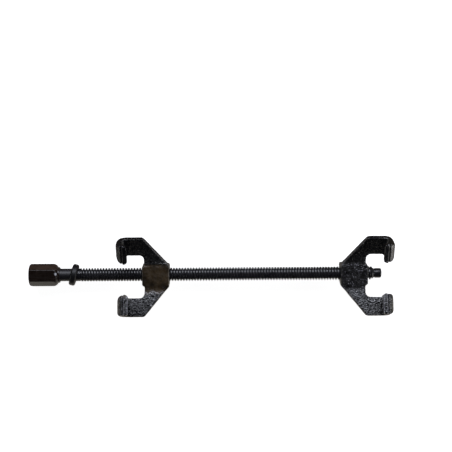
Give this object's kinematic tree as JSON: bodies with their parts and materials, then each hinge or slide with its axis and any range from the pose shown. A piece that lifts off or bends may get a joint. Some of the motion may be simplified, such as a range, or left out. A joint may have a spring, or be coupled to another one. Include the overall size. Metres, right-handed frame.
{
  "type": "coil spring compressor",
  "caption": "Coil spring compressor: a long trapezoidal screw with a hexagonal head draws a threaded claw towards a sliding claw, and their curled hooks hold the spring's coils.",
  "frame": {"origin": "under the middle of the whole tool, on the plane of the claws' boss backs", "axes": "+X along the screw from the hexagonal head to the tip, +Z the way both V-shaped claws open, +Y across the arms"},
  "size_m": [0.3848, 0.0866, 0.0466],
  "materials": {
    "screw_steel": "black oxide over a rolled thread, oiled, with bright worn crests",
    "head_steel": "black oxide over machined flats, semi-gloss",
    "washer_steel": "black oxide, matt",
    "forged_claw": "black finish over rough drop-forged steel, with brown oil on the boss"
  },
  "bodies": {
    "sliding_claw": {"sliding_claw": "forged_claw"},
    "thrust_washer": {"thrust_washer": "washer_steel"},
    "screw": {"threaded_rod": "screw_steel", "hex_drive_head": "head_steel"},
    "threaded_claw": {"threaded_claw": "forged_claw"}
  },
  "joints": [
    {"name": "claw_slide", "type": "slide", "parent": "sliding_claw", "child": "thrust_washer", "axis": [1, 0, 0], "range_m": [-0.015, 0.066]},
    {"name": "screw_spin", "type": "hinge", "parent": "thrust_washer", "child": "screw", "pos_m": [0, 0, 0.013], "axis": [1, 0, 0], "range_deg": [-600, 19680]},
    {"name": "claw_travel", "type": "slide", "parent": "thrust_washer", "child": "threaded_claw", "axis": [1, 0, 0], "range_m": [-0.164, 0.005]}
  ],
  "couplings": [
    {"joint": "claw_travel", "follows": "screw_spin", "m_per_rad": -0.00047746}
  ]
}
